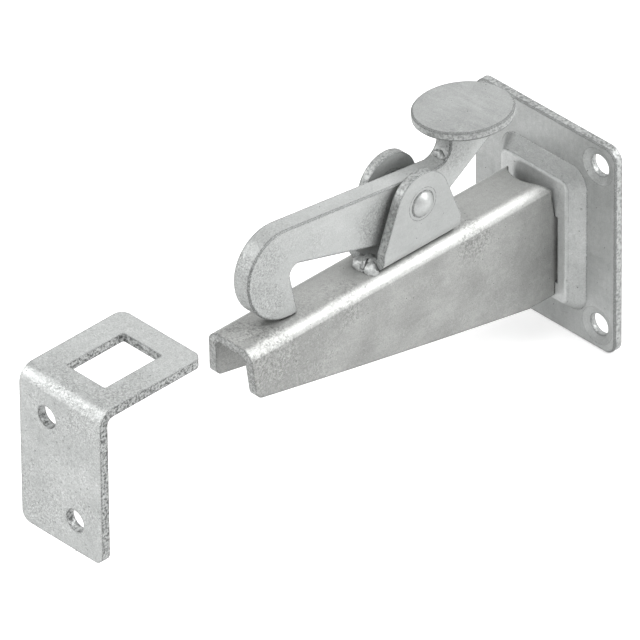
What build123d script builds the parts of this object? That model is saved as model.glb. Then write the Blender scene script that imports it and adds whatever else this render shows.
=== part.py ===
# Gate holdback catch in hot-dip galvanised steel: a wall plate with a pressed boss, a folded arm, a riveted
# gravity hook with a thumb disc, and the keeper plate that the hook drops into.
# Millimetres. The origin is the middle of the wall plate's back face, the arm points to -Y, and +Z is up.

import os
from math import atan2, degrees, hypot, radians, sqrt, tan

from build123d import *

# Steel stock
sheet = 4.0                # gauge of the wall plate, the arm, the bracket and the keeper
bar = 8.8                  # thickness of the flat bar that the hook is cut from
edge_break = 0.6           # softening that shearing and zinc give to the outer edges

# Wall plate
plate_width = 80.0
plate_height = 100.0
plate_corner = 6.0
bolt_pitch_x = 60.0
bolt_pitch_z = 78.0
bolt_hole = 10.0
bolt_sink = 17.0           # outer diameter of the shallow dish round each hole
bolt_sink_depth = 1.4

# Boss pressed out of the wall plate, measured at its foot on the plate's front
boss_width = 48.0
boss_height = 70.0
boss_drop = 2.0            # how far the boss's middle lies below the plate's
boss_rise = 6.5
boss_run = 5.5             # how far each side of the boss leans in over its rise
boss_corner = 8.5
boss_fold = 2.4            # rounding of the boss's front edge
slot_height = 32.5         # of the two slots that take the tabs of the arm's flanges
slot_drop = 6.75           # how far the slots' middle lies below the plate's
slot_gap = 0.3             # between a slot and its tab, above, below and inside
slot_drain = 1.4           # outside the tab, where the zinc drains

# Arm, a channel that opens downwards
arm_width = 25.0
arm_top = 26.5             # height of the arm's top face above the plate's middle
arm_reach = 180.5          # from the wall to the arm's tip
arm_bend = 2.0             # inside radius of the arm's two folds
arm_tip_depth = 22.1
arm_root_depth = 55.5
arm_splay = 4.5            # degrees that the flanges have sprung open at the tip
arm_fold = 8.0             # depth of the arm's folds, under which the flanges spring open
arm_tip_lean = 1.9         # the tip's lower corner lies this much nearer the wall
arm_tip_corner = 4.0
arm_knee = 14.5            # level stretch of the arm's lower edge in front of the boss
arm_end = 2.0              # from the wall to the ends of the tabs
arm_foot_gap = 0.3         # between the boss and the flanges' ends above and below the tabs
relief_radius = 13.5       # half-round notch in the arm's top and folds, in front of the boss
relief_reach = 9.5         # how far that notch runs out from the boss
relief_depth = 7.5
relief_slant = 1.8         # how far the flanges' ends lean away from the boss, over the tabs

# Pivot bracket, a U that stands on the arm
bracket_width = 22.5
bracket_bend = 3.0         # inside radius
bracket_length = 43.0
ear_radius = 14.3
ear_shoulder = 9.0         # height of the ears' upright lower edges
pivot_out = 84.0           # from the wall to the rivet's axis
pivot_up = 24.5            # from the arm's top face to the rivet's axis
rivet_shank = 8.0
rivet_head = 11.4
rivet_dome = 2.8
rivet_play = 0.08          # radial play of the hook on the rivet

# Hook lever, measured from the rivet's axis
hook_offset = 0.6          # the hook stands this much right of the arm's middle
nose_reach = 90.6          # to the front of the nose
nose_length = 27.4         # from the front of the nose to the beak's tip
nose_gap = 0.2             # between the resting nose and the arm
nose_radius = 18.5         # upper rounding of the nose
beak_radius = 1.2
beak_lean = 5.5            # how far the beak's back leans forward on its way up to the throat
throat_height = 25.0
throat_radius = 4.0
back_rise = 9.1            # height of the hook's back over the axis
back_fall = 7.6            # degrees that the back falls towards the wall
belly_drop = 19.9          # depth under the axis of the corner that the belly rounds off
belly_radius = 18.0
tail_front = 22.0
tail_rear = 48.0
tail_slope = 32.2          # degrees that the tail's underside climbs
tail_radius = 7.0          # hollow in front of the tail
heel_radius = 2.0

# Thumb disc
disc_diameter = 42.0
disc_thickness = 4.0
disc_out = 50.2            # from the wall to the disc's middle
disc_up = 49.5             # height of the disc's top over the arm's top face
disc_lean = 6.0            # degrees that the welded disc leans sideways

# Welds
arm_weld_leg = 3.2
arm_weld_margin = 2.5      # the beads stop this far short of the tabs' corners
front_weld_radius = 7.3
rear_weld_radius = 4.0
front_weld_length = 13.0
front_weld_offset = 1.5    # the front bead's middle lies this much right of the arm's
rear_weld_length = 16.0
weld_end = 2.5             # slope of a bead's ends
disc_weld_leg = 2.4

# Keeper, an L with a window for the nose
keeper_width = 46.0
keeper_height = 73.0
keeper_leaf = 56.0
keeper_bend = 3.0          # inside radius
keeper_corner = 4.5
keeper_out = 272.7         # from the wall to the keeper's front face
keeper_up = 22.3           # height of the keeper's top over the arm's top face
keeper_window_width = 22.0
keeper_window_length = 31.0
keeper_window_border = 10.8
keeper_window_corner = 1.0
keeper_hole = 10.0
keeper_pitch_x = 15.0
keeper_pitch_z = 42.5
keeper_hole_up = 14.3      # from the lower edge to the lower hole

# Places that several pieces share
boss_front = sheet + boss_rise
pivot_z = arm_top + pivot_up
flange_bottom = arm_top - arm_root_depth
tab_top = slot_height / 2 - slot_drop - slot_gap
tab_bottom = -slot_height / 2 - slot_drop + slot_gap
knee_out = boss_front + arm_knee


def front(depth):
    """Plane parallel to the wall, depth in front of it, with local x along X and local y along Z."""
    return Plane.XZ.offset(depth)


def side_slab(corners, width):
    """Outline through (y, z, radius) corners in the YZ plane, made solid and centred on X = 0."""
    outline = make_face(Polyline([(y, z) for y, z, _ in corners], close=True))
    for y, z, radius in corners:
        if radius > 0:
            corner = min(outline.vertices(), key=lambda v: hypot(v.X - y, v.Y - z))
            outline = fillet(corner, radius)
    return extrude(Plane.YZ * outline, amount=width / 2, both=True)


def channel_section(width, height, bend):
    """Folded U with its web up and its open side on the sketch's x axis."""
    outer = RectangleRounded(width, 2 * height, bend + sheet)
    inner = RectangleRounded(width - 2 * sheet, 2 * (height - sheet), bend)
    lower = Pos(0, -height) * Rectangle(2 * width, 2 * height)
    return outer - inner - lower


def across(radius, length, y, z):
    """Cylinder along X, centred on X = 0."""
    return Pos(0, y, z) * Rot(0, 90, 0) * Cylinder(radius, length)


def make_wall_plate():
    plate = extrude(front(0) * RectangleRounded(plate_width, plate_height, plate_corner), sheet)
    plate = chamfer(plate.faces().sort_by(Axis.Y)[0].outer_wire().edges(), edge_break)
    boss = boss_shell(sheet, 0)
    plate += fillet(boss.faces().sort_by(Axis.Y)[0].edges(), boss_fold)
    slant = boss_run / boss_rise
    plate -= boss_shell(0, sheet * (sqrt(1 + slant ** 2) - slant))
    slot_width = sheet + slot_gap + slot_drain
    slot_x = arm_width / 2 + slot_drain - slot_width / 2
    for hand in (-1, 1):
        plate -= Pos(hand * slot_x, -boss_front, -slot_drop) * Box(slot_width, 2 * boss_rise, slot_height)
    for spot in GridLocations(bolt_pitch_x, bolt_pitch_z, 2, 2):
        plate -= extrude(front(sheet) * spot * Circle(bolt_hole / 2), -sheet)
        dish = Location(front(sheet - bolt_sink_depth / 2)) * spot
        plate -= dish * Cone(bolt_hole / 2, bolt_sink / 2, bolt_sink_depth)
    return plate


def boss_shell(foot, inset):
    """Tapered block of the boss, foot in front of the wall and inset all round, as high as the pressing."""
    outline = RectangleRounded(boss_width - 2 * inset, boss_height - 2 * inset, boss_corner - inset)
    lean = degrees(atan2(boss_run, boss_rise))
    return extrude(front(foot) * Pos(0, -boss_drop) * outline, boss_rise, taper=lean)


def flange_section(out, splay):
    """Section of the right flange under its fold, out from the wall and sprung open by splay degrees."""
    top = arm_top - arm_fold
    spread = (top - flange_bottom) * tan(radians(splay))
    outer = arm_width / 2
    inner = outer - sheet
    return front(out) * make_face(Polyline([
        (inner, top), (outer, top), (outer + spread, flange_bottom), (inner + spread, flange_bottom),
    ], close=True))


def make_arm():
    fold = channel_section(arm_width, arm_fold, arm_bend)
    root = channel_section(arm_width, arm_root_depth, arm_bend)
    channel = extrude(front(0) * Pos(0, arm_top - arm_fold) * fold, arm_reach)
    channel += extrude(front(0) * Pos(0, flange_bottom) * root, knee_out)
    flange = loft([flange_section(knee_out, 0), flange_section(arm_reach, arm_splay)], ruled=True)
    channel += flange + mirror(flange, Plane.YZ)
    foot = boss_front + arm_foot_gap
    outline = side_slab([
        (-arm_reach, arm_top, 0),
        (-arm_reach + arm_tip_lean, arm_top - arm_tip_depth, arm_tip_corner),
        (-knee_out, flange_bottom, 0),
        (-foot, flange_bottom, 0),
        (-foot, tab_bottom, 0),
        (-arm_end, tab_bottom, 0),
        (-arm_end, tab_top, 0),
        (-foot, tab_top, 0),
        (-foot - relief_slant, arm_top - relief_depth, 0),
        (-foot - relief_slant, arm_top, 0),
    ], 2 * arm_width)
    notch_y = relief_radius - relief_reach - boss_front
    notch = Pos(0, notch_y, arm_top) * Cylinder(relief_radius, 2 * relief_depth)
    return (channel & outline) - notch


def make_bracket():
    height = pivot_up + ear_radius
    section = Pos(0, arm_top + height) * Rot(0, 0, 180) * channel_section(
        bracket_width, height, bracket_bend)
    trough = extrude(front(pivot_out - bracket_length / 2) * section, bracket_length)
    top = Pos(-pivot_out, pivot_z) * Circle(ear_radius)
    foot = Pos(-pivot_out, arm_top + ear_shoulder / 2) * Rectangle(bracket_length, ear_shoulder)
    ears = Plane.YZ * make_hull(top.edges() + foot.edges())
    bracket = trough & extrude(ears, amount=bracket_width, both=True)
    return bracket - across(rivet_shank / 2, bracket_width, -pivot_out, pivot_z)


def make_rivet():
    """Rivet with its domed head on the right and its tail hammered to a blunt cone on the left."""
    half = bracket_width / 2
    tail = -half - rivet_dome
    ball = (rivet_head ** 2 / 4 + rivet_dome ** 2) / (2 * rivet_dome)
    shank = Pos(0, rivet_shank / 4) * Rectangle(bracket_width, rivet_shank / 2)
    head = Pos(half + rivet_dome / 2, rivet_head / 4) * Rectangle(rivet_dome, rivet_head / 2)
    dome = head & (Pos(half + rivet_dome - ball, 0) * Circle(ball))
    blunt = make_face(Polyline([
        (-half, 0), (-half, rivet_head / 2), (tail, rivet_shank / 2), (tail, 0),
    ], close=True))
    return Pos(0, -pivot_out, pivot_z) * revolve(shank + dome + blunt, Axis.X)


def make_hook():
    nose_y = -pivot_out - nose_reach
    nose_z = arm_top + nose_gap
    beak_y = nose_y + nose_length
    belly_z = pivot_z - belly_drop
    front_y = -pivot_out + tail_front
    rear_y = -pivot_out + tail_rear
    fall = tan(radians(back_fall))
    brow_z = pivot_z + back_rise + nose_reach * fall
    brow_length = nose_radius / tan(radians(90 - back_fall) / 2)
    chin_radius = min(brow_z - nose_z - brow_length, nose_length - 2 * beak_radius)
    hook = side_slab([
        (nose_y, brow_z, nose_radius),
        (nose_y, nose_z, chin_radius),
        (beak_y, nose_z, beak_radius),
        (beak_y - beak_lean, nose_z + throat_height, throat_radius),
        (-pivot_out, belly_z, belly_radius),
        (rear_y, belly_z + tail_rear * tan(radians(tail_slope)), heel_radius),
        (rear_y, arm_top + disc_up, 0),
        (front_y, arm_top + disc_up, 0),
        (front_y, pivot_z + back_rise - tail_front * fall, tail_radius),
    ], bar)
    hook = chamfer(hook.faces().filter_by(Axis.X).edges(), edge_break)
    hook -= across(rivet_shank / 2 + rivet_play, bar, -pivot_out, pivot_z)
    hook = Pos(hook_offset, 0, 0) * hook
    return hook - extrude(disc_plane(disc_thickness) * Circle(disc_diameter), disc_diameter)


def disc_plane(depth):
    """Plane of the disc, depth below its top face, which leans sideways."""
    middle = (0, -disc_out, arm_top + disc_up)
    return Plane(Location(middle, (0, -disc_lean, 0))).offset(-depth)


def make_disc():
    disc = extrude(disc_plane(disc_thickness) * Circle(disc_diameter / 2), disc_thickness)
    return chamfer(disc.edges(), edge_break)


def make_disc_weld(hook):
    """Fillet bead round the tail's top, under the disc."""
    middle = Pos(hook_offset, disc_out - pivot_out + (tail_front + tail_rear) / 2)
    length = tail_rear - tail_front
    upper = Rectangle(bar + 2 * disc_weld_leg, length + 2 * disc_weld_leg)
    lower = Rectangle(bar, length)
    bead = loft([
        disc_plane(disc_thickness) * middle * upper,
        disc_plane(disc_thickness + disc_weld_leg) * middle * lower,
    ], ruled=True)
    return bead - hook


def make_bracket_weld(end, radius, length, offset, bracket):
    """Bead across one end of the bracket's web; end is -1 at the front and 1 at the rear."""
    section = Circle(radius) - Pos(0, -radius) * Rectangle(2 * radius, 2 * radius)
    bead = extrude(Plane.YZ * section, amount=length / 2, both=True)
    bead = chamfer(bead.edges().filter_by(GeomType.CIRCLE), weld_end)
    return Pos(offset, -pivot_out + end * bracket_length / 2, arm_top) * bead - bracket


def make_arm_weld(hand):
    """Fillet bead behind the boss, outside one flange; hand is -1 at the left and 1 at the right."""
    top = tab_top - arm_weld_margin
    bottom = tab_bottom + arm_weld_margin
    corner = Pos(hand * arm_width / 2, -boss_rise, (top + bottom) / 2)
    bead = corner * Cylinder(arm_weld_leg, top - bottom)
    outside = Pos(hand * arm_weld_leg, arm_weld_leg, 0) * Box(
        2 * arm_weld_leg, 2 * arm_weld_leg, top - bottom)
    return bead & corner * outside


def make_keeper():
    top = arm_top + keeper_up
    foot = top - keeper_height
    free = -keeper_out + keeper_leaf
    keeper = side_slab([
        (-keeper_out, top, keeper_bend + sheet),
        (free, top, 0),
        (free, top - sheet, 0),
        (-keeper_out + sheet, top - sheet, keeper_bend),
        (-keeper_out + sheet, foot, 0),
        (-keeper_out, foot, 0),
    ], keeper_width)
    leaf_corners = keeper.edges().filter_by(Axis.Z).group_by(Axis.Y)[-1]
    foot_corners = keeper.edges().filter_by(Axis.Y).group_by(Axis.Z)[0]
    keeper = fillet(leaf_corners + foot_corners, keeper_corner)
    window = Pos(0, free - keeper_window_border - keeper_window_length / 2, top) * RectangleRounded(
        keeper_window_width, keeper_window_length, keeper_window_corner)
    keeper -= extrude(window, -sheet)
    for hand in (-1, 1):
        z = foot + keeper_hole_up + keeper_pitch_z * (1 - hand) / 2
        hole = front(keeper_out) * Pos(hand * keeper_pitch_x / 2, z) * Circle(keeper_hole / 2)
        keeper -= extrude(hole, -sheet)
    return keeper


def main():
    bracket = make_bracket()
    hook = make_hook()
    parts = {
        "wall_plate": make_wall_plate(),
        "arm_channel": make_arm(),
        "arm_weld_left": make_arm_weld(-1),
        "arm_weld_right": make_arm_weld(1),
        "pivot_bracket": bracket,
        "bracket_weld_front": make_bracket_weld(
            -1, front_weld_radius, front_weld_length, front_weld_offset, bracket),
        "bracket_weld_rear": make_bracket_weld(1, rear_weld_radius, rear_weld_length, 0, bracket),
        "pivot_rivet": make_rivet(),
        "hook_lever": hook,
        "thumb_disc": make_disc(),
        "disc_weld": make_disc_weld(hook),
        "keeper_plate": make_keeper(),
    }
    os.makedirs("parts", exist_ok=True)
    for name, solid in parts.items():
        export_step(solid, f"parts/{name}.step")


main()
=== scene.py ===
# Gate holdback catch, hot-dip galvanised: looks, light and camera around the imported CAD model.
# Blender 4.5, metres. The wall is at Y = 0, the arm points to -Y and Z is up.

import math
import bpy
from mathutils import Matrix, Vector


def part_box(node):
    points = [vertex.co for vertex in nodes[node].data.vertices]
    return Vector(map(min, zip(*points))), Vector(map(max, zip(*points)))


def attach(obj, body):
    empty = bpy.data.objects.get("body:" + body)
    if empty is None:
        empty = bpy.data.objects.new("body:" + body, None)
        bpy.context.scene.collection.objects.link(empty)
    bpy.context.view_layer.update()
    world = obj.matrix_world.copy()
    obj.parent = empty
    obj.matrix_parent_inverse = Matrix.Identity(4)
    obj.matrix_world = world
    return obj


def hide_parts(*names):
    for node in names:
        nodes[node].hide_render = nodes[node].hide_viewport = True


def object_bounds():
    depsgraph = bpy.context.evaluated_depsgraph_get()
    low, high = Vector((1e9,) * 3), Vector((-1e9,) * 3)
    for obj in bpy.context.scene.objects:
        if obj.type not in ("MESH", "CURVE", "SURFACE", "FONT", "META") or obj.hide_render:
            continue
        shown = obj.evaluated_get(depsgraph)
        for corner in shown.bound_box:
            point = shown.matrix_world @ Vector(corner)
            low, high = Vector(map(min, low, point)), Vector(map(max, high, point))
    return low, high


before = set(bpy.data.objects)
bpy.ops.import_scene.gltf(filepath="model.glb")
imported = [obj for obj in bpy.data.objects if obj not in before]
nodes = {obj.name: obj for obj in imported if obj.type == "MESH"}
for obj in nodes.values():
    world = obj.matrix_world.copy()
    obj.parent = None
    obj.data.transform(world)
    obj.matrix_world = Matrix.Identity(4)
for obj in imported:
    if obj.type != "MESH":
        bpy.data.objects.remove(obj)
mm = 0.001
cadBox = [list(corner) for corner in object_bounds()]
print("frame loaded:", len(nodes), "nodes")


# Helpers for materials, node trees and pieces

def toLinear(hexColour):
    channels = [int(hexColour[i:i + 2], 16) / 255 for i in (1, 3, 5)]
    return [c / 12.92 if c <= 0.04045 else ((c + 0.055) / 1.055) ** 2.4 for c in channels] + [1.0]


def addNode(tree, kind, settings=None, links=None):
    # settings name properties of the node or values of its inputs, links name inputs fed by other sockets
    node = tree.nodes.new(kind)
    for name, value in (settings or {}).items():
        if isinstance(name, str) and hasattr(node, name):
            setattr(node, name, value)
        else:
            node.inputs[name].default_value = value
    for name, socket in (links or {}).items():
        tree.links.new(socket, node.inputs[name])
    return node


def newMaterial(name):
    material = bpy.data.materials.new(name)
    material.use_nodes = True
    material.node_tree.nodes.clear()
    return material, material.node_tree


def newTree(name, inputs):
    # Geometry Nodes tree with a geometry input, the named inputs and a geometry output
    tree = bpy.data.node_groups.new(name, "GeometryNodeTree")
    tree.interface.new_socket("Geometry", in_out="INPUT", socket_type="NodeSocketGeometry")
    for label, kind in inputs.items():
        tree.interface.new_socket(label, in_out="INPUT", socket_type="NodeSocket" + kind)
    tree.interface.new_socket("Geometry", in_out="OUTPUT", socket_type="NodeSocketGeometry")
    return tree, addNode(tree, "NodeGroupInput").outputs


def finishTree(tree, geometry, material):
    realized = addNode(tree, "GeometryNodeRealizeInstances", links={0: geometry})
    smooth = addNode(tree, "GeometryNodeSetShadeSmooth", links={0: realized.outputs[0]})
    painted = addNode(tree, "GeometryNodeSetMaterial", links={0: smooth.outputs[0], "Material": material})
    addNode(tree, "NodeGroupOutput", links={0: painted.outputs[0]})


def runTree(name, mesh, tree, values):
    # keeps what the tree makes of the mesh as a plain mesh in an object at the origin
    carrier = bpy.data.objects.new(name + "_carrier", mesh)
    bpy.context.scene.collection.objects.link(carrier)
    modifier = carrier.modifiers.new("nodes", "NODES")
    modifier.node_group = tree
    for socket in tree.interface.items_tree:
        if socket.in_out == "INPUT" and socket.name in values:
            modifier[socket.identifier] = values[socket.name]
    evaluated = carrier.evaluated_get(bpy.context.evaluated_depsgraph_get())
    made = bpy.data.meshes.new_from_object(evaluated)
    bpy.data.objects.remove(carrier)
    piece = bpy.data.objects.new(name, made)
    bpy.context.scene.collection.objects.link(piece)
    return piece


# Where the sheet was sheared or the bar was flame-cut, the zinc is rough, with dark pits and bright crests.
# Each rule is (flat or end, axis of the face's normal, size of it, axis of the place, least place in mm).
cutRules = {
    "wall_plate": [("flat", "Y", 0.5)],
    "arm_channel": [("end", "Y", 0.12)],
    "pivot_bracket": [("flat", "X", 0.3, "Z", 31.2), ("end", "Y", 0.15)],
    "hook_lever": [("flat", "X", 0.5)],
    "thumb_disc": [("flat", "Z", 0.5)],
    "keeper_plate": [("end", "X", 0.15), ("end", "Y", 0.5, "Y", -264.0)],
}


def cutMask(tree, coords, rules):
    normal = addNode(tree, "ShaderNodeSeparateXYZ", links={0: coords.outputs["Normal"]})
    place = addNode(tree, "ShaderNodeSeparateXYZ", links={0: coords.outputs["Object"]})
    mask = None
    for kind, axis, size, *limit in rules:
        length = addNode(tree, "ShaderNodeMath", {"operation": "ABSOLUTE"}, {0: normal.outputs[axis]})
        compare = "GREATER_THAN" if kind == "end" else "LESS_THAN"
        edge = addNode(tree, "ShaderNodeMath", {"operation": compare, 1: size}, {0: length.outputs[0]})
        if limit:
            above = addNode(tree, "ShaderNodeMath", {"operation": "GREATER_THAN", 1: limit[1] * mm},
                            {0: place.outputs[limit[0]]})
            edge = addNode(tree, "ShaderNodeMath", {"operation": "MULTIPLY"},
                           {0: edge.outputs[0], 1: above.outputs[0]})
        mask = edge if mask is None else addNode(
            tree, "ShaderNodeMath", {"operation": "MAXIMUM"}, {0: mask.outputs[0], 1: edge.outputs[0]})
    return mask


def coarseMask(tree, place, cloud, spots):
    # 1 where the coating froze coarse, round each (x, y, z, reach) in mm, and fading over a cloudy border
    mask = None
    for x, y, z, reach in spots:
        centre = (x * mm, y * mm, z * mm)
        away = addNode(tree, "ShaderNodeVectorMath", {"operation": "DISTANCE", 1: centre}, {0: place})
        near = addNode(tree, "ShaderNodeMapRange", {"From Min": reach * mm, "From Max": 0.0, "To Max": 2.6},
                       {0: away.outputs["Value"]})
        share = addNode(tree, "ShaderNodeMath", {"operation": "MULTIPLY", "use_clamp": True},
                        {0: near.outputs[0], 1: cloud})
        mask = share if mask is None else addNode(
            tree, "ShaderNodeMath", {"operation": "MAXIMUM"}, {0: mask.outputs[0], 1: share.outputs[0]})
    return mask


zinc = {
    "dark": "#A4A6A5",        # dull clouds in the coating
    "light": "#B0B2B1",       # brighter zinc between them
    "speck": "#3C3D3D",       # ash and dross
    "cloud": 18.0,            # mm across a cloud
    "mottle": 2.2,            # mm across a fleck of the mottling
    "mottling": 0.22,         # how much the mottling shows
    "grain": 0.5,             # mm, fine grain; drawn coarser than the real one so that it shows
    "graining": 0.4,          # how much the grain shows
    "grainHeight": 0.12,      # mm
    "streak": (1.0, 0.1, 1.0),  # how often the streaks change along each axis
    "streakWidth": 2.0,       # mm
    "streaking": 0.08,        # how much the streaks show
    "speckEvery": 3.6,        # mm between specks
    "speckSize": 0.1,         # of that distance
    "metallic": 0.5,          # 0 is a dull coat, 1 is bare metal
    "roughness": (0.36, 0.56),
    "edgeRound": 0.9,         # mm that the zinc rounds an edge over
    "edgeLine": 0.8,          # how dark the broken line just inside an edge is
    "lineColour": "#3C3E3D",
    "edgeWear": 0.3,          # how much brighter the edge's crest is
    "crestColour": "#DADCDB",
    "edgeDull": 0.3,          # roughness added along an edge
    "tearDark": "#6A6C6B",    # pits of a sheared face
    "tearLight": "#B6B8B7",   # its crests
    "tear": 0.6,              # how much a sheared face differs from the rest
    "tearSize": 1.2,          # mm across a pit
    "tearHeight": 0.35,       # mm
    "broken": None,           # (axis, spread) of the normals of the broken edges, 45 degrees to the faces
    "brokenDull": 0.35,       # roughness added on them
    "patchColour": "#5A5C5B",  # colour of the dark patches on them
    "rings": [],              # (y, z, radius, thickness) in mm of dark rings round what passes through
    "ringColour": "#4E504F",
    "pebble": 1.1,            # mm across the pebbles of a coarse stretch
    "pebbleHeight": 0.3,      # mm
    "pebbleContrast": 0.42,   # how much the pebbles show
    "coarse": [],             # (x, y, z, reach) in mm of the coarse stretches
    "coarseShade": 0.0,       # how much duller they are
    "coarseColour": "#808281",
    "faces": [],              # (axis, sign, least, colour, share, y limit in mm) of faces toned by direction, as painted light
    "swell": 0.35,            # mm, height of the uneven coat
    "contact": 0.12,          # what is left of the shade where two pieces meet
    "contactReach": 1.3,      # mm
    "crevice": 0.7,           # what is left of it in a wider hollow
    "creviceReach": 6.0,      # mm
}


def galvanisedSteel(name, rules=None, **changes):
    # Hot-dip galvanised mild steel, dulled: cloudy neutral grey, soft broad reflections, sparse dark specks
    look = dict(zinc, **changes)
    material, tree = newMaterial(name)
    coords = addNode(tree, "ShaderNodeTexCoord")
    place = coords.outputs["Object"]
    # Scale counts the flecks in a metre, so it is 1000 over their size in mm
    clouds = addNode(tree, "ShaderNodeTexNoise",
                     {"Scale": 1000 / look["cloud"], "Detail": 5.0, "Roughness": 0.55}, {"Vector": place})
    mottle = addNode(tree, "ShaderNodeTexNoise",
                     {"Scale": 1000 / look["mottle"], "Detail": 3.0, "Roughness": 0.6, "Distortion": 0.8},
                     {"Vector": place})
    grain = addNode(tree, "ShaderNodeTexNoise",
                    {"Scale": 1000 / look["grain"], "Detail": 2.0, "Roughness": 0.7}, {"Vector": place})
    drawn = addNode(tree, "ShaderNodeMapping", {"Scale": look["streak"]}, {"Vector": place})
    streaks = addNode(tree, "ShaderNodeTexNoise", {"Scale": 1000 / look["streakWidth"], "Detail": 3.0},
                      {"Vector": drawn.outputs[0]})
    cells = addNode(tree, "ShaderNodeTexVoronoi", {"Scale": 1000 / look["speckEvery"], "Randomness": 1.0},
                    {"Vector": place})
    tear = addNode(tree, "ShaderNodeTexNoise",
                   {"Scale": 1000 / look["tearSize"], "Detail": 4.0, "Roughness": 0.65}, {"Vector": place})
    cloud = addNode(tree, "ShaderNodeMapRange", {"From Min": 0.35, "From Max": 0.65}, {0: clouds.outputs[0]})
    base = addNode(tree, "ShaderNodeMix",
                   {"data_type": "RGBA", 6: toLinear(look["dark"]), 7: toLinear(look["light"])},
                   {0: cloud.outputs[0]})
    shade = base.outputs[2]
    facing = addNode(tree, "ShaderNodeSeparateXYZ", links={0: coords.outputs["Normal"]})
    depth = addNode(tree, "ShaderNodeSeparateXYZ", links={0: place})
    for axis, sign, least, tone, share, limit in look["faces"]:
        # a face toned by the direction it looks in: painted light, for tones that the lamps alone don't give
        turned = addNode(tree, "ShaderNodeMapRange",
                         {"From Min": sign * least, "From Max": sign * (least + 0.1), "To Max": share},
                         {0: facing.outputs[axis]})
        raised = addNode(tree, "ShaderNodeMath", {"operation": "LESS_THAN", 1: limit * mm},
                         {0: depth.outputs["Y"]})
        side = addNode(tree, "ShaderNodeMath", {"operation": "MULTIPLY"},
                       {0: turned.outputs[0], 1: raised.outputs[0]})
        toned = addNode(tree, "ShaderNodeMix", {"data_type": "RGBA", 7: toLinear(tone)},
                        {0: side.outputs[0], 6: shade})
        shade = toned.outputs[2]
    for share, pattern in (("mottling", mottle), ("streaking", streaks), ("graining", grain)):
        layer = addNode(tree, "ShaderNodeMix", {"data_type": "RGBA", "blend_type": "OVERLAY", 0: look[share]},
                        {6: shade, 7: pattern.outputs[0]})
        shade = layer.outputs[2]
    # a speck sits in a cell's middle, where the mottling is light
    spot = addNode(tree, "ShaderNodeMapRange",
                   {"From Min": look["speckSize"], "From Max": look["speckSize"] / 2},
                   {0: cells.outputs["Distance"]})
    where = addNode(tree, "ShaderNodeMapRange", {"From Min": 0.50, "From Max": 0.56}, {0: mottle.outputs[0]})
    speck = addNode(tree, "ShaderNodeMath", {"operation": "MULTIPLY"},
                    {0: spot.outputs[0], 1: where.outputs[0]})
    specked = addNode(tree, "ShaderNodeMix", {"data_type": "RGBA", 7: toLinear(look["speck"])},
                      {0: speck.outputs[0], 6: shade})
    shade = specked.outputs[2]
    if rules:
        # a sheared face is torn into dark pits and bright crests
        sheared = cutMask(tree, coords, rules)
        pits = addNode(tree, "ShaderNodeMapRange", {"From Min": 0.38, "From Max": 0.60}, {0: tear.outputs[0]})
        torn = addNode(tree, "ShaderNodeMix",
                       {"data_type": "RGBA", 6: toLinear(look["tearDark"]), 7: toLinear(look["tearLight"])},
                       {0: pits.outputs[0]})
        tornShare = addNode(tree, "ShaderNodeMath", {"operation": "MULTIPLY", 1: look["tear"]},
                            {0: sheared.outputs[0]})
        mixed = addNode(tree, "ShaderNodeMix", {"data_type": "RGBA"},
                        {0: tornShare.outputs[0], 6: shade, 7: torn.outputs[2]})
        shade = mixed.outputs[2]
    # edges: where the rounded normal leaves the flat one; first a broken dark line, then a brighter crest
    rounded = addNode(tree, "ShaderNodeBevel", {"samples": 6, "Radius": look["edgeRound"] * mm})
    flat = addNode(tree, "ShaderNodeNewGeometry")
    along = addNode(tree, "ShaderNodeVectorMath", {"operation": "DOT_PRODUCT"},
                    {0: rounded.outputs[0], 1: flat.outputs["Normal"]})
    edge = addNode(tree, "ShaderNodeMapRange", {"From Min": 0.985, "From Max": 0.975},
                   {0: along.outputs["Value"]})
    crest = addNode(tree, "ShaderNodeMapRange", {"From Min": 0.91, "From Max": 0.86},
                    {0: along.outputs["Value"]})
    line = addNode(tree, "ShaderNodeMath", {"operation": "SUBTRACT", "use_clamp": True},
                   {0: edge.outputs[0], 1: crest.outputs[0]})
    broken = addNode(tree, "ShaderNodeMapRange",
                     {"From Min": 0.42, "From Max": 0.50, "To Min": 0.15, "To Max": look["edgeLine"]},
                     {0: tear.outputs[0]})
    lined = addNode(tree, "ShaderNodeMath", {"operation": "MULTIPLY"},
                    {0: line.outputs[0], 1: broken.outputs[0]})
    outlined = addNode(tree, "ShaderNodeMix", {"data_type": "RGBA", 7: toLinear(look["lineColour"])},
                       {0: lined.outputs[0], 6: shade})
    patchy = addNode(tree, "ShaderNodeMapRange",
                     {"From Min": 0.42, "From Max": 0.58, "To Max": look["edgeWear"]}, {0: tear.outputs[0]})
    bright = addNode(tree, "ShaderNodeMath", {"operation": "MULTIPLY"},
                     {0: crest.outputs[0], 1: patchy.outputs[0]})
    crested = addNode(tree, "ShaderNodeMix", {"data_type": "RGBA", 7: toLinear(look["crestColour"])},
                   {0: bright.outputs[0], 6: outlined.outputs[2]})
    shade = crested.outputs[2]
    smoothest, roughest = look["roughness"]
    rough = addNode(tree, "ShaderNodeMapRange", {"To Min": smoothest, "To Max": roughest},
                    {0: mottle.outputs[0]})
    duller = addNode(tree, "ShaderNodeMath", {"operation": "MULTIPLY_ADD", 1: look["edgeDull"]},
                     {0: edge.outputs[0], 2: rough.outputs[0]})
    if look["broken"]:
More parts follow.
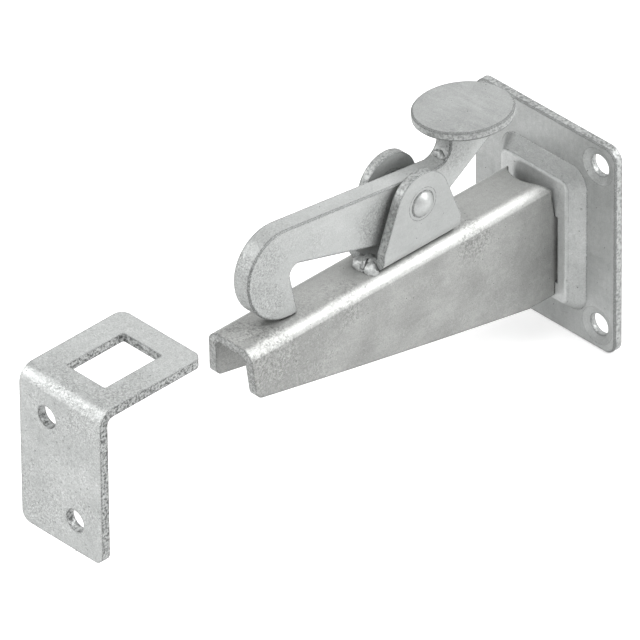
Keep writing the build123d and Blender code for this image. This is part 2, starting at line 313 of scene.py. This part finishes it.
        # the broken edges between two faces are duller than the faces, and darker in patches
        axis, spread = look["broken"]
        size = addNode(tree, "ShaderNodeMath", {"operation": "ABSOLUTE"}, {0: facing.outputs[axis]})
        slanted = addNode(tree, "ShaderNodeMath", {"operation": "COMPARE", 1: math.sqrt(0.5), 2: spread},
                          {0: size.outputs[0]})
        duller = addNode(tree, "ShaderNodeMath", {"operation": "MULTIPLY_ADD", 1: look["brokenDull"]},
                         {0: slanted.outputs[0], 2: duller.outputs[0]})
        darkPatches = addNode(tree, "ShaderNodeMapRange", {"From Min": 0.54, "From Max": 0.44, "To Max": 0.35},
                       {0: tear.outputs[0]})
        patchShare = addNode(tree, "ShaderNodeMath", {"operation": "MULTIPLY"},
                        {0: slanted.outputs[0], 1: darkPatches.outputs[0]})
        patched = addNode(tree, "ShaderNodeMix", {"data_type": "RGBA", 7: toLinear(look["patchColour"])},
                          {0: patchShare.outputs[0], 6: shade})
        shade = patched.outputs[2]
    for y, z, radius, thick in look["rings"]:
        # a broken dark line round a hole or a rivet's head
        flatPlace = addNode(tree, "ShaderNodeVectorMath", {"operation": "MULTIPLY", 1: (0, 1, 1)}, {0: place})
        off = addNode(tree, "ShaderNodeVectorMath", {"operation": "DISTANCE", 1: (0, y * mm, z * mm)},
                      {0: flatPlace.outputs[0]})
        ring = addNode(tree, "ShaderNodeMath", {"operation": "COMPARE", 1: radius * mm, 2: thick * mm},
                       {0: off.outputs["Value"]})
        ringed = addNode(tree, "ShaderNodeMath", {"operation": "MULTIPLY"},
                         {0: ring.outputs[0], 1: broken.outputs[0]})
        circled = addNode(tree, "ShaderNodeMix", {"data_type": "RGBA", 7: toLinear(look["ringColour"])},
                          {0: ringed.outputs[0], 6: shade})
        shade = circled.outputs[2]
    swell = addNode(tree, "ShaderNodeBump", {"Strength": 0.5, "Distance": look["swell"] * mm},
                    {"Height": mottle.outputs[0], "Normal": rounded.outputs[0]})
    fine = addNode(tree, "ShaderNodeBump", {"Strength": 0.4, "Distance": look["grainHeight"] * mm},
                   {"Height": grain.outputs[0], "Normal": swell.outputs[0]})
    normal = fine.outputs[0]
    if look["coarse"]:
        # a coarse stretch is pebbled and flecked light and dark
        mask = coarseMask(tree, place, cloud.outputs[0], look["coarse"])
        pebbles = addNode(
            tree, "ShaderNodeTexNoise",
            {"Scale": 1000 / look["pebble"], "Detail": 4.0, "Roughness": 0.7, "Distortion": 0.6},
            {"Vector": place})
        dulled = addNode(tree, "ShaderNodeMath", {"operation": "MULTIPLY", 1: look["coarseShade"]},
                         {0: mask.outputs[0]})
        dull = addNode(tree, "ShaderNodeMix", {"data_type": "RGBA", 7: toLinear(look["coarseColour"])},
                       {0: dulled.outputs[0], 6: shade})
        fleck = addNode(tree, "ShaderNodeMapRange",
                        {"From Min": 0.38, "From Max": 0.60, "To Min": 0.1, "To Max": 0.8},
                        {0: pebbles.outputs[0]})
        pitting = addNode(tree, "ShaderNodeMath", {"operation": "MULTIPLY", 1: look["pebbleContrast"]},
                          {0: mask.outputs[0]})
        pitted = addNode(tree, "ShaderNodeMix", {"data_type": "RGBA", "blend_type": "OVERLAY"},
                         {0: pitting.outputs[0], 6: dull.outputs[2], 7: fleck.outputs[0]})
        shade = pitted.outputs[2]
        pebbled = addNode(tree, "ShaderNodeBump", {"Distance": look["pebbleHeight"] * mm},
                          {"Strength": mask.outputs[0], "Height": pebbles.outputs[0], "Normal": normal})
        normal = pebbled.outputs[0]
    if rules:
        ragged = addNode(tree, "ShaderNodeBump", {"Distance": look["tearHeight"] * mm},
                         {"Strength": tornShare.outputs[0], "Height": tear.outputs[0], "Normal": normal})
        normal = ragged.outputs[0]
    # painted shade in the corners: a crisp line where pieces meet, and a soft shade in wider hollows
    corners = (
        (look["contactReach"], 0.7, look["contact"]),
        (look["creviceReach"], 0.6, look["crevice"]),
    )
    for reach, least, rest in corners:
        corner = addNode(tree, "ShaderNodeAmbientOcclusion", {"samples": 6, "Distance": reach * mm})
        cornerShade = addNode(tree, "ShaderNodeMapRange",
                        {"From Min": 0.1, "From Max": least, "To Min": rest, "To Max": 1.0},
                        {0: corner.outputs["AO"]})
        shadedCorners = addNode(tree, "ShaderNodeMix", {"data_type": "RGBA", "blend_type": "MULTIPLY", 0: 1.0},
                         {6: shade, 7: cornerShade.outputs[0]})
        shade = shadedCorners.outputs[2]
    shader = addNode(tree, "ShaderNodeBsdfPrincipled", {"Metallic": look["metallic"]},
                     {"Base Color": shade, "Roughness": duller.outputs[0], "Normal": normal})
    addNode(tree, "ShaderNodeOutputMaterial", links={"Surface": shader.outputs[0]})
    return material


finishes = {
    "wall_plate": {"dark": "#A0A2A1", "light": "#B0B2B1", "streak": (1.0, 1.0, 0.1), "tear": 0.8,
                   "broken": ("Y", 0.02), "contact": 0.15, "crevice": 1.0,
                   # painted light: the boss's face brighter than the plate, and its upper slope duller
                   "faces": [("Y", -1, 0.85, "#C2C4C3", 0.9, -6.0), ("Z", 1, 0.5, "#8A8C8B", 0.8, -4.3)]},
    "arm_channel": {"dark": "#8F908E", "light": "#9E9F9D", "tear": 0.6, "metallic": 0.6,
                    "roughness": (0.42, 0.60), "crevice": 0.95, "speckEvery": 3.0,
                    # painted light: a bright band along the folds, less on the top
                    "faces": [("Z", 1, 0.25, "#C4C5C3", 0.7, 0.0), ("Z", 1, 0.88, "#A4A5A3", 0.95, 0.0)],
                    "coarse": [(12.5, -165.0, 24.0, 40.0), (12.5, -128.0, 26.0, 16.0),
                               (12.5, -56.0, 20.0, 12.0)]},
    "pivot_bracket": {"dark": "#A1A3A2", "light": "#AAACAB", "mottling": 0.12, "graining": 0.2, "tear": 0.7,
                      "rings": [(-84.0, 51.0, 5.9, 0.3), (-84.0, 51.0, 7.4, 0.12)]},
    "pivot_rivet": {"dark": "#AAACAB", "light": "#B6B8B7", "mottling": 0.12, "graining": 0.2},
    "hook_lever": {"dark": "#ABADAC", "light": "#B7B9B8", "mottling": 0.12, "tear": 0.2,
                   "tearDark": "#8E908F", "broken": ("X", 0.05), "edgeLine": 0.95, "coarseShade": 0.25,
                   "pebble": 0.8,
                   "coarse": [(5.0, -164.0, 38.0, 44.0), (5.0, -106.0, 50.0, 14.0),
                              # the last stretch, on the tail under the disc, is pebbled, and its dulling is
                              # painted shade
                              (5.0, -60.0, 66.0, 16.0)]},
    "thumb_disc": {"dark": "#979998", "light": "#A1A3A2", "mottling": 0.15, "streak": (0.15, 1.0, 1.0),
                   "streaking": 0.15, "broken": ("Z", 0.12), "edgeLine": 0.9,
                   "coarse": [(8.0, -68.0, 74.0, 14.0)]},
    "keeper_plate": {"dark": "#A3A5A4", "light": "#B3B5B4", "tear": 1.0, "tearDark": "#4A4C4B",
                     "graining": 0.6, "edgeLine": 0.95, "contact": 1.0, "crevice": 1.0,
                     "roughness": (0.30, 0.52), "speckEvery": 5.0, "speckSize": 0.07, "pebble": 0.9,
                     # painted light: a bright band along the bend, less on the leaf's top
                     "faces": [("Z", 1, 0.25, "#C8CAC9", 0.6, 0.0), ("Z", 1, 0.88, "#ABADAC", 0.95, 0.0)],
                     "coarse": [(10.0, -270.0, 44.0, 40.0), (-16.0, -272.0, -12.0, 30.0),
                                (14.0, -272.0, -6.0, 16.0)]},
}
for name, look in finishes.items():
    mesh = nodes[name].data
    mesh.materials.clear()
    mesh.materials.append(galvanisedSteel("galvanised_" + name, cutRules.get(name), **look))
print("finishes on the CAD nodes")


# Weld beads: a rippled, lumpy tube along each joint, coated with the same zinc
bead = {
    "resolution": 28,         # points round the bead
    "step": 0.35,             # mm between its rings
    "ripple": 1.5,            # mm between the ripples that the weld pool left
    "rippleHeight": 0.10,     # mm
    "lump": 2.8,              # mm across a lump
    "discLeg": 2.4,           # mm, the bead under the disc
    "discLean": 6.0,          # degrees that the disc leans sideways
    "discSheet": 4.0,         # mm, its thickness
    "sink": 1.0,              # mm that a bead reaches into the steel
}
weldTree, weldIn = newTree("weldBead", {
    "Radius": "Float", "Taper": "Float", "Lump Height": "Float", "Least": "Vector", "Most": "Vector",
    "Seed": "Float", "Material": "Material",
})
path = addNode(weldTree, "GeometryNodeMeshToCurve", links={0: weldIn["Geometry"]})
rings = addNode(weldTree, "GeometryNodeResampleCurve", {"mode": "LENGTH", "Length": bead["step"] * mm},
                {0: path.outputs[0]})
spline = addNode(weldTree, "GeometryNodeSplineParameter")
marked = addNode(weldTree, "GeometryNodeStoreNamedAttribute",
                 {"data_type": "FLOAT", "domain": "POINT", "Name": "along"},
                 {0: rings.outputs[0], "Value": spline.outputs["Length"]})
# the bead is full along its middle and narrows at its ends
half = addNode(weldTree, "ShaderNodeMath", {"operation": "MULTIPLY", 1: math.pi},
               {0: spline.outputs["Factor"]})
arch = addNode(weldTree, "ShaderNodeMath", {"operation": "SINE"}, {0: half.outputs[0]})
blunt = addNode(weldTree, "ShaderNodeMath", {"operation": "POWER", 1: 0.35}, {0: arch.outputs[0]})
ends = addNode(weldTree, "ShaderNodeMapRange", {"To Max": 0.8},
               {0: blunt.outputs[0], "From Max": weldIn["Taper"]})
width = addNode(weldTree, "ShaderNodeMath", {"operation": "ADD", 1: 0.2}, {0: ends.outputs[0]})
circle = addNode(weldTree, "GeometryNodeCurvePrimitiveCircle", {"Resolution": bead["resolution"]},
                 {"Radius": weldIn["Radius"]})
tube = addNode(weldTree, "GeometryNodeCurveToMesh", {"Fill Caps": True},
               {0: marked.outputs[0], 1: circle.outputs[0], "Scale": width.outputs[0]})
lumps = addNode(weldTree, "ShaderNodeTexNoise",
                {"noise_dimensions": "4D", "Scale": 1000 / bead["lump"], "Detail": 3.0, "Roughness": 0.6},
                {"W": weldIn["Seed"]})
lifted = addNode(weldTree, "ShaderNodeMath", {"operation": "SUBTRACT", 1: 0.5}, {0: lumps.outputs[0]})
lumpy = addNode(weldTree, "ShaderNodeMath", {"operation": "MULTIPLY"},
                {0: lifted.outputs[0], 1: weldIn["Lump Height"]})
measured = addNode(weldTree, "GeometryNodeInputNamedAttribute", {"data_type": "FLOAT", "Name": "along"})
turns = addNode(weldTree, "ShaderNodeMath", {"operation": "MULTIPLY", 1: 2 * math.pi / (bead["ripple"] * mm)},
                {0: measured.outputs[0]})
wave = addNode(weldTree, "ShaderNodeMath", {"operation": "SINE"}, {0: turns.outputs[0]})
height = addNode(weldTree, "ShaderNodeMath", {"operation": "MULTIPLY_ADD", 1: bead["rippleHeight"] * mm},
                 {0: wave.outputs[0], 2: lumpy.outputs[0]})
outwards = addNode(weldTree, "GeometryNodeInputNormal")
push = addNode(weldTree, "ShaderNodeVectorMath", {"operation": "SCALE"},
               {0: outwards.outputs[0], "Scale": height.outputs[0]})
rippled = addNode(weldTree, "GeometryNodeSetPosition", links={0: tube.outputs[0], "Offset": push.outputs[0]})
spotNow = addNode(weldTree, "GeometryNodeInputPosition")
kept = addNode(weldTree, "ShaderNodeVectorMath", {"operation": "MAXIMUM"},
               {0: spotNow.outputs[0], 1: weldIn["Least"]})
within = addNode(weldTree, "ShaderNodeVectorMath", {"operation": "MINIMUM"},
                 {0: kept.outputs[0], 1: weldIn["Most"]})
trimmed = addNode(weldTree, "GeometryNodeSetPosition",
                  links={0: rippled.outputs[0], "Position": within.outputs[0]})
finishTree(weldTree, trimmed.outputs[0], weldIn["Material"])

# Zinc-coated weld metal: lumpier and shinier than the sheet, with painted shade in its hollows
beadZinc = galvanisedSteel("galvanised_weld_bead", dark="#9C9E9D", light="#B8BAB9", mottling=0.5, mottle=1.6,
                           metallic=0.6, roughness=(0.28, 0.5), swell=0.5, edgeLine=0.3)


def weld(name, body, points, radius, least=(-1, -1, -1), most=(1, 1, 1), lumpHeight=0.8, closed=False,
         stands=None):
    # points are the path of the bead's middle, least and most the box that it may not leave, and stands
    # is the CAD node whose place it takes
    count = len(points)
    edges = [(i, (i + 1) % count) for i in range(count if closed else count - 1)]
    line = bpy.data.meshes.new(name + "_path")
    line.from_pydata(points, edges, [])
    piece = runTree(name, line, weldTree, {
        "Radius": radius, "Taper": 0.001 if closed else 1.0, "Lump Height": lumpHeight * mm, "Least": least,
        "Most": most, "Seed": float(len(name)), "Material": beadZinc,
    })
    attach(piece, body)
    if stands:
        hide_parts(stands)
    return piece


# the front bead wanders across the joint, by these shares of its length and mm to either side
low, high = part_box("bracket_weld_front")
middleY = (low[1] + high[1]) / 2
wander = [(low[0] + (high[0] - low[0]) * share, middleY + off * mm, low[2])
          for share, off in ((0.10, 0.5), (0.35, -0.6), (0.60, 0.7), (0.80, -0.5), (0.93, 0.9))]
weld("front_bead", "root", wander, (high[2] - low[2]) * 0.68, least=(-1, -1, low[2] - bead["sink"] * mm),
     most=(1, 1, high[2]), lumpHeight=3.4, stands="bracket_weld_front")
low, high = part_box("bracket_weld_rear")
weld("rear_bead", "root", [(low[0] + mm, low[1], low[2]), (high[0] - mm, low[1], low[2])],
     high[2] - low[2], least=(-1, -1, low[2] - bead["sink"] * mm), lumpHeight=1.4, stands="bracket_weld_rear")
for hand, side in ((-1, "left"), (1, "right")):
    low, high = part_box("arm_weld_" + side)
    foot = low[0] if hand > 0 else high[0]
    sunk = foot - hand * bead["sink"] * mm
    weld("tab_bead_" + side, "root", [(foot, low[1], low[2]), (foot, low[1], high[2])], high[0] - low[0],
         least=(sunk if hand > 0 else -1, low[1] - bead["sink"] * mm, -1),
         most=(1 if hand > 0 else sunk, 1, 1), lumpHeight=1.0, stands="arm_weld_" + side)
low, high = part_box("disc_weld")
discLow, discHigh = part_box("thumb_disc")
leg = bead["discLeg"] * mm
lean = math.radians(bead["discLean"])
discX = (discLow[0] + discHigh[0]) / 2
underside = (discLow[2] + discHigh[2]) / 2 - bead["discSheet"] * mm / 2 / math.cos(lean)
loop = [(x, y, underside + (x - discX) * math.tan(lean))
        for x, y in ((low[0] + leg, low[1] + leg), (high[0] - leg, low[1] + leg),
                     (high[0] - leg, high[1] - leg), (low[0] + leg, high[1] - leg))]
weld("disc_bead", "hook", loop, leg * 0.9, lumpHeight=0.8, closed=True, stands="disc_weld")
# a run of zinc that froze in the hollow in front of the tail
run = [(-2.5, -64.4, 59.2), (0.5, -63.9, 60.4), (2.5, -64.8, 59.6), (4.2, -64.2, 60.2)]
weld("tail_run", "hook", [(x * mm, y * mm, z * mm) for x, y, z in run], 1.4 * mm, lumpHeight=3.0)
print("weld beads made")


# Zinc nodules: small frozen drops, scattered where the coat is coarse
noduleTree, noduleIn = newTree("zincNodules", {
    "Density": "Float", "Centre": "Vector", "Reach": "Float", "Least": "Float", "Most": "Float",
    "Seed": "Int", "Material": "Material",
})
here = addNode(noduleTree, "GeometryNodeInputPosition")
away = addNode(noduleTree, "ShaderNodeVectorMath", {"operation": "DISTANCE"},
               {0: here.outputs[0], 1: noduleIn["Centre"]})
thinning = addNode(noduleTree, "ShaderNodeMapRange", {"From Max": 0.0},
                   {0: away.outputs["Value"], "From Min": noduleIn["Reach"]})
perArea = addNode(noduleTree, "ShaderNodeMath", {"operation": "MULTIPLY"},
                  {0: thinning.outputs[0], 1: noduleIn["Density"]})
points = addNode(noduleTree, "GeometryNodeDistributePointsOnFaces",
                 links={0: noduleIn["Geometry"], "Density": perArea.outputs[0], "Seed": noduleIn["Seed"]})
ball = addNode(noduleTree, "GeometryNodeMeshIcoSphere", {"Radius": 1.0, "Subdivisions": 3})
drop = addNode(noduleTree, "GeometryNodeTransform", {"Scale": (1.0, 0.8, 0.4)}, {0: ball.outputs[0]})
size = addNode(noduleTree, "FunctionNodeRandomValue", {"data_type": "FLOAT"},
               {2: noduleIn["Least"], 3: noduleIn["Most"], "Seed": noduleIn["Seed"]})
drops = addNode(noduleTree, "GeometryNodeInstanceOnPoints", links={
    0: points.outputs["Points"], "Instance": drop.outputs[0], "Rotation": points.outputs["Rotation"],
    "Scale": size.outputs[1]})
finishTree(noduleTree, drops.outputs[0], noduleIn["Material"])

# Bright frozen drops of the same zinc, smooth and without edge lines
noduleZinc = galvanisedSteel("galvanised_nodule", dark="#B2B4B3", light="#C4C6C5", edgeLine=0.2, edgeWear=0.0,
                             contact=1.0, crevice=1.0, graining=0.1, swell=0.1)
noduleSets = {
    # name: (node that carries them, body, centre and reach in mm, one in this many square mm, sizes in mm)
    "keeper_nodules": ("keeper_plate", "root", (0, -273, 20), 60, 22.0, (0.25, 0.6)),
    "arm_nodules": ("arm_channel", "root", (12, -150, 20), 50, 16.0, (0.15, 0.45)),
    "plate_nodules": ("wall_plate", "root", (34, -3, 0), 60, 30.0, (0.15, 0.45)),
    "hook_nodules": ("hook_lever", "hook", (3, -164, 40), 40, 14.0, (0.12, 0.35)),
}
for seed, (name, (carrier, body, centre, reach, area, sizes)) in enumerate(noduleSets.items()):
    piece = runTree(name, nodes[carrier].data, noduleTree, {
        # the density is in drops to a square metre
        "Density": 1e6 / area, "Centre": [c * mm for c in centre], "Reach": reach * mm,
        "Least": sizes[0] * mm, "Most": sizes[1] * mm, "Seed": seed, "Material": noduleZinc,
    })
    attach(piece, body)
    print(name, len(piece.data.polygons), "faces")


# Floor, light and camera

studio = {
    "floor": "#D2D2D2",      # colour of the pale paper below the part
    "floorSize": 3.0,        # metres
    "world": 0.26,           # strength of the even light from all round
    "lift": 0.58,            # what the floor adds where the camera or a reflection sees it
}
lowest = cadBox[0][2] - 0.2 * mm
floorMesh = bpy.data.meshes.new("floor")
reach = studio["floorSize"] / 2
floorMesh.from_pydata([(-reach, -reach, lowest), (reach, -reach, lowest), (reach, reach, lowest),
                       (-reach, reach, lowest)], [], [(0, 1, 2, 3)])
floor = bpy.data.objects.new("floor", floorMesh)
bpy.context.scene.collection.objects.link(floor)
paper, tree = newMaterial("matt_white_paper")
paperDiffuse = addNode(tree, "ShaderNodeBsdfDiffuse", {"Color": toLinear(studio["floor"])})
rays = addNode(tree, "ShaderNodeLightPath")
seen = addNode(tree, "ShaderNodeMath", {"operation": "MAXIMUM"},
               {0: rays.outputs["Is Camera Ray"], 1: rays.outputs["Is Glossy Ray"]})
lift = addNode(tree, "ShaderNodeMath", {"operation": "MULTIPLY", 1: studio["lift"]}, {0: seen.outputs[0]})
glow = addNode(tree, "ShaderNodeEmission", links={"Strength": lift.outputs[0]})
both = addNode(tree, "ShaderNodeAddShader", links={0: paperDiffuse.outputs[0], 1: glow.outputs[0]})
addNode(tree, "ShaderNodeOutputMaterial", links={"Surface": both.outputs[0]})
floorMesh.materials.append(paper)

world = bpy.data.worlds.new("studio")
bpy.context.scene.world = world
world.use_nodes = True
world.node_tree.nodes.clear()
sky = addNode(world.node_tree, "ShaderNodeBackground",
              {"Color": toLinear("#FFFFFF"), "Strength": studio["world"]})
addNode(world.node_tree, "ShaderNodeOutputWorld", links={"Surface": sky.outputs[0]})

middle = Vector((0, -0.11, 0.01))
lamps = {
    # name: (direction towards the lamp, distance, width, power in watts)
    "key_softbox": ((0.15, -0.35, 0.95), 1.3, 0.9, 8.0),
    "front_softbox": ((-0.59, -0.70, 0.57), 1.2, 0.6, 7.0),
    "front_fill": ((0.3, -0.93, 0.2), 1.2, 0.8, 4.3),
    "back_strip": ((0.58, 0.57, 0.60), 1.2, 0.7, 15.5),
    "left_softbox": ((-0.59, 0.57, 0.58), 1.2, 0.8, 2.8),
}
for name, (direction, distance, width, power) in lamps.items():
    lampData = bpy.data.lights.new(name, "AREA")
    lampData.size = width
    lampData.energy = power
    lamp = bpy.data.objects.new(name, lampData)
    lamp.location = middle + Vector(direction).normalized() * distance
    lamp.rotation_euler = (middle - lamp.location).to_track_quat("-Z", "Y").to_euler()
    bpy.context.scene.collection.objects.link(lamp)

# The camera looks down at 35 degrees from the free end's right, from far off, so edges stay nearly parallel
view = {
    "right": (0.6985, 0.7156, -0.0081),
    "up": (-0.4085, 0.4081, 0.8166),
    "back": (0.5875, -0.5671, 0.5771),
    "target": (-0.0474, -0.0842, -0.0345),
    "distance": 5.6567,
    "lens": 787.5,
}
cameraData = bpy.data.cameras.new("camera")
cameraData.lens = view["lens"]
cameraData.clip_end = 20.0
camera = bpy.data.objects.new("camera", cameraData)
turn = Matrix((view["right"], view["up"], view["back"])).transposed().to_4x4()
camera.matrix_world = Matrix.Translation(
    Vector(view["target"]) + Vector(view["back"]) * view["distance"]) @ turn
bpy.context.scene.collection.objects.link(camera)
bpy.context.scene.camera = camera
bpy.context.scene.view_settings.view_transform = "Standard"
print("floor, lamps and camera in place")
